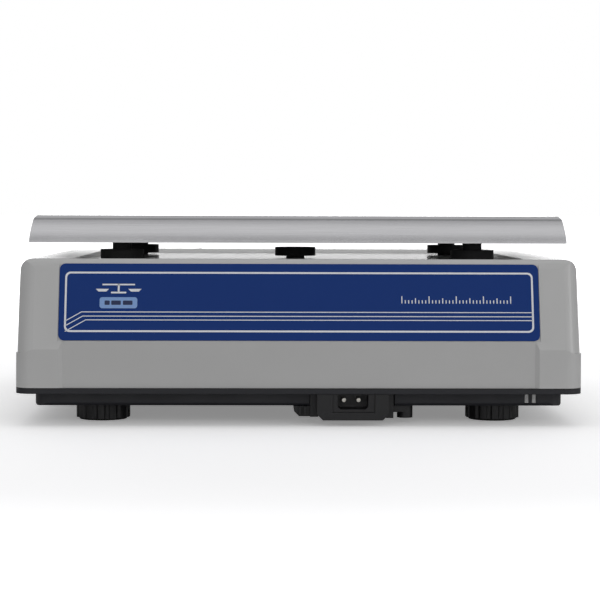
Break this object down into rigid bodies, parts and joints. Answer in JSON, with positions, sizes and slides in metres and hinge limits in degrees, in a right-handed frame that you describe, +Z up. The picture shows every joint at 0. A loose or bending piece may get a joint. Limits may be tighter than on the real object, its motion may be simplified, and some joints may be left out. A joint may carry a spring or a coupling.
{
  "type": "label printing scale",
  "caption": "Low counter scale with a lift-off metal pan on a load cell, levelling feet, an operator's display and keys, and a drop-in label printer behind a hinged door.",
  "frame": {"origin": "on the table, under the middle of the casing's outline", "axes": "+Z up, the customer's side faces -Y, the operator's side faces +Y, +X to the right as the customer sees it"},
  "size_m": [0.3324, 0.366, 0.123],
  "materials": {
    "casing_grey": "fine spark-eroded grain, satin",
    "tray_black": "fine grain, satin",
    "panel_film": "printed polyester film, satin",
    "inlet_black": "moulded, slightly glossy",
    "brass": "turned",
    "overlay_film": "printed and embossed film",
    "display_glass": "smoked acrylic window",
    "lcd": "reflective liquid-crystal glass",
    "circuit_board": "solder mask with parts",
    "battery_case": "moulded",
    "cast_aluminium": "as cast, machined seats",
    "cell_aluminium": "machined and clear anodised",
    "black_steel": "black oxide",
    "zinc_steel": "zinc plated",
    "pan_steel": "satin stainless sheet",
    "rubber_black": "matt rubber",
    "key_plastic": "fine grain",
    "paper": "thermal label paper",
    "vial": "clear acrylic with tinted liquid",
    "switch_red": "glossy rocker"
  },
  "bodies": {
    "base": {"base_tray": "tray_black", "upper_housing": "casing_grey", "customer_panel": "panel_film", "inlet_housing": "inlet_black", "inlet_socket": "inlet_black", "inlet_pins": "brass", "speed_key_overlay": "overlay_film", "display_window": "display_glass", "display_module": "lcd", "keypad_board": "circuit_board", "main_board": "circuit_board", "power_supply": "circuit_board", "battery": "battery_case", "cell_base": "cast_aluminium", "load_cell": "cell_aluminium", "cell_bolts": "black_steel", "housing_screws": "zinc_steel", "foot_inserts": "brass", "printer_chassis": "zinc_steel", "stepper_motor": "zinc_steel", "tear_bar": "zinc_steel", "roll_spindle": "key_plastic", "door_hinge_pin": "zinc_steel", "level_vial": "vial", "switch_body": "inlet_black"},
    "platform": {"spider_frame": "cast_aluminium", "hub_spacer": "cast_aluminium", "spider_bolts": "black_steel", "pan_supports": "rubber_black"},
    "pan": {"weighing_pan": "pan_steel", "pan_locators": "inlet_black"},
    "door": {"printer_door": "casing_grey", "print_head": "zinc_steel"},
    "latch": {"door_latch": "inlet_black"},
    "platen": {"platen_roller": "rubber_black"},
    "pinion": {"motor_pinion": "brass"},
    "paper_roll": {"label_roll": "paper"},
    "rocker": {"power_rocker": "switch_red"},
    "foot_1_pad": {"foot_pad_1": "rubber_black"},
    "foot_1_wheel": {"foot_wheel_1": "inlet_black"},
    "foot_2_pad": {"foot_pad_2": "rubber_black"},
    "foot_2_wheel": {"foot_wheel_2": "inlet_black"},
    "foot_3_pad": {"foot_pad_3": "rubber_black"},
    "foot_3_wheel": {"foot_wheel_3": "inlet_black"},
    "foot_4_pad": {"foot_pad_4": "rubber_black"},
    "foot_4_wheel": {"foot_wheel_4": "inlet_black"},
    "button_1": {"key_1": "key_plastic"},
    "button_2": {"key_2": "key_plastic"},
    "button_3": {"key_3": "key_plastic"},
    "button_4": {"key_4": "key_plastic"},
    "button_5": {"key_5": "key_plastic"},
    "button_6": {"key_6": "key_plastic"},
    "button_7": {"key_7": "key_plastic"},
    "button_8": {"key_8": "key_plastic"},
    "button_9": {"key_9": "key_plastic"},
    "button_clear": {"key_clear": "key_plastic"},
    "button_0": {"key_0": "key_plastic"},
    "button_print": {"key_print": "key_plastic"}
  },
  "joints": [
    {"name": "platform_travel", "type": "slide", "parent": "base", "child": "platform", "axis": [0, 0, -1], "range_m": [0, 0.001], "stiffness_N_per_m": 50000, "springref_m": -0.0006, "deforming": ["load_cell"]},
    {"name": "pan_lift", "type": "slide", "parent": "platform", "child": "pan", "axis": [0, 0, 1], "range_m": [0, 0.06]},
    {"name": "foot_1_height", "type": "slide", "parent": "base", "child": "foot_1_pad", "axis": [0, 0, -1], "range_m": [0, 0.005]},
    {"name": "foot_1_turn", "type": "hinge", "parent": "foot_1_pad", "child": "foot_1_wheel", "pos_m": [-0.1182, -0.138, 0.005], "axis": [0, 0, 1], "range_deg": [0, 1440]},
    {"name": "foot_2_height", "type": "slide", "parent": "base", "child": "foot_2_pad", "axis": [0, 0, -1], "range_m": [0, 0.005]},
    {"name": "foot_2_turn", "type": "hinge", "parent": "foot_2_pad", "child": "foot_2_wheel", "pos_m": [0.1182, -0.138, 0.005], "axis": [0, 0, 1], "range_deg": [0, 1440]},
    {"name": "foot_3_height", "type": "slide", "parent": "base", "child": "foot_3_pad", "axis": [0, 0, -1], "range_m": [0, 0.005]},
    {"name": "foot_3_turn", "type": "hinge", "parent": "foot_3_pad", "child": "foot_3_wheel", "pos_m": [-0.1182, 0.138, 0.005], "axis": [0, 0, 1], "range_deg": [0, 1440]},
    {"name": "foot_4_height", "type": "slide", "parent": "base", "child": "foot_4_pad", "axis": [0, 0, -1], "range_m": [0, 0.005]},
    {"name": "foot_4_turn", "type": "hinge", "parent": "foot_4_pad", "child": "foot_4_wheel", "pos_m": [0.1182, 0.138, 0.005], "axis": [0, 0, 1], "range_deg": [0, 1440]},
    {"name": "door_hinge", "type": "hinge", "parent": "base", "child": "door", "pos_m": [-0.115, 0.12978, 0.09082], "axis": [1, 0, 0], "range_deg": [0, 88]},
    {"name": "latch_slide", "type": "slide", "parent": "door", "child": "latch", "axis": [-1, 0, 0], "range_m": [0, 0.003], "stiffness_N_per_m": 300, "springref_m": -0.003},
    {"name": "platen_spin", "type": "hinge", "parent": "base", "child": "platen", "pos_m": [-0.115, 0.17228, 0.04678], "axis": [1, 0, 0], "continuous": true},
    {"name": "pinion_spin", "type": "hinge", "parent": "base", "child": "pinion", "pos_m": [-0.072, 0.1644, 0.04515], "axis": [1, 0, 0], "continuous": true},
    {"name": "label_roll_spin", "type": "hinge", "parent": "base", "child": "paper_roll", "pos_m": [-0.115, 0.12859, 0.04858], "axis": [1, 0, 0], "continuous": true},
    {"name": "power_switch", "type": "hinge", "parent": "base", "child": "rocker", "pos_m": [0.14, 0.18, 0.036], "axis": [1, 0, 0], "range_deg": [0, 18]},
    {"name": "press_1", "type": "slide", "parent": "base", "child": "button_1", "axis": [0, -0.6605, -0.7509], "range_m": [0, 0.0015], "stiffness_N_per_m": 300, "springref_m": -0.0005},
    {"name": "press_2", "type": "slide", "parent": "base", "child": "button_2", "axis": [0, -0.6605, -0.7509], "range_m": [0, 0.0015], "stiffness_N_per_m": 300, "springref_m": -0.0005},
    {"name": "press_3", "type": "slide", "parent": "base", "child": "button_3", "axis": [0, -0.6605, -0.7509], "range_m": [0, 0.0015], "stiffness_N_per_m": 300, "springref_m": -0.0005},
    {"name": "press_4", "type": "slide", "parent": "base", "child": "button_4", "axis": [0, -0.6605, -0.7509], "range_m": [0, 0.0015], "stiffness_N_per_m": 300, "springref_m": -0.0005},
    {"name": "press_5", "type": "slide", "parent": "base", "child": "button_5", "axis": [0, -0.6605, -0.7509], "range_m": [0, 0.0015], "stiffness_N_per_m": 300, "springref_m": -0.0005},
    {"name": "press_6", "type": "slide", "parent": "base", "child": "button_6", "axis": [0, -0.6605, -0.7509], "range_m": [0, 0.0015], "stiffness_N_per_m": 300, "springref_m": -0.0005},
    {"name": "press_7", "type": "slide", "parent": "base", "child": "button_7", "axis": [0, -0.6605, -0.7509], "range_m": [0, 0.0015], "stiffness_N_per_m": 300, "springref_m": -0.0005},
    {"name": "press_8", "type": "slide", "parent": "base", "child": "button_8", "axis": [0, -0.6605, -0.7509], "range_m": [0, 0.0015], "stiffness_N_per_m": 300, "springref_m": -0.0005},
    {"name": "press_9", "type": "slide", "parent": "base", "child": "button_9", "axis": [0, -0.6605, -0.7509], "range_m": [0, 0.0015], "stiffness_N_per_m": 300, "springref_m": -0.0005},
    {"name": "press_clear", "type": "slide", "parent": "base", "child": "button_clear", "axis": [0, -0.6605, -0.7509], "range_m": [0, 0.0015], "stiffness_N_per_m": 300, "springref_m": -0.0005},
    {"name": "press_0", "type": "slide", "parent": "base", "child": "button_0", "axis": [0, -0.6605, -0.7509], "range_m": [0, 0.0015], "stiffness_N_per_m": 300, "springref_m": -0.0005},
    {"name": "press_print", "type": "slide", "parent": "base", "child": "button_print", "axis": [0, -0.6605, -0.7509], "range_m": [0, 0.0015], "stiffness_N_per_m": 300, "springref_m": -0.0005}
  ],
  "couplings": [
    {"joint": "foot_1_height", "follows": "foot_1_turn", "m_per_rad": 0.00019894},
    {"joint": "foot_2_height", "follows": "foot_2_turn", "m_per_rad": 0.00019894},
    {"joint": "foot_3_height", "follows": "foot_3_turn", "m_per_rad": 0.00019894},
    {"joint": "foot_4_height", "follows": "foot_4_turn", "m_per_rad": 0.00019894},
    {"joint": "pinion_spin", "follows": "platen_spin", "ratio": -1.6667},
    {"joint": "label_roll_spin", "follows": "platen_spin", "ratio": -0.25}
  ]
}
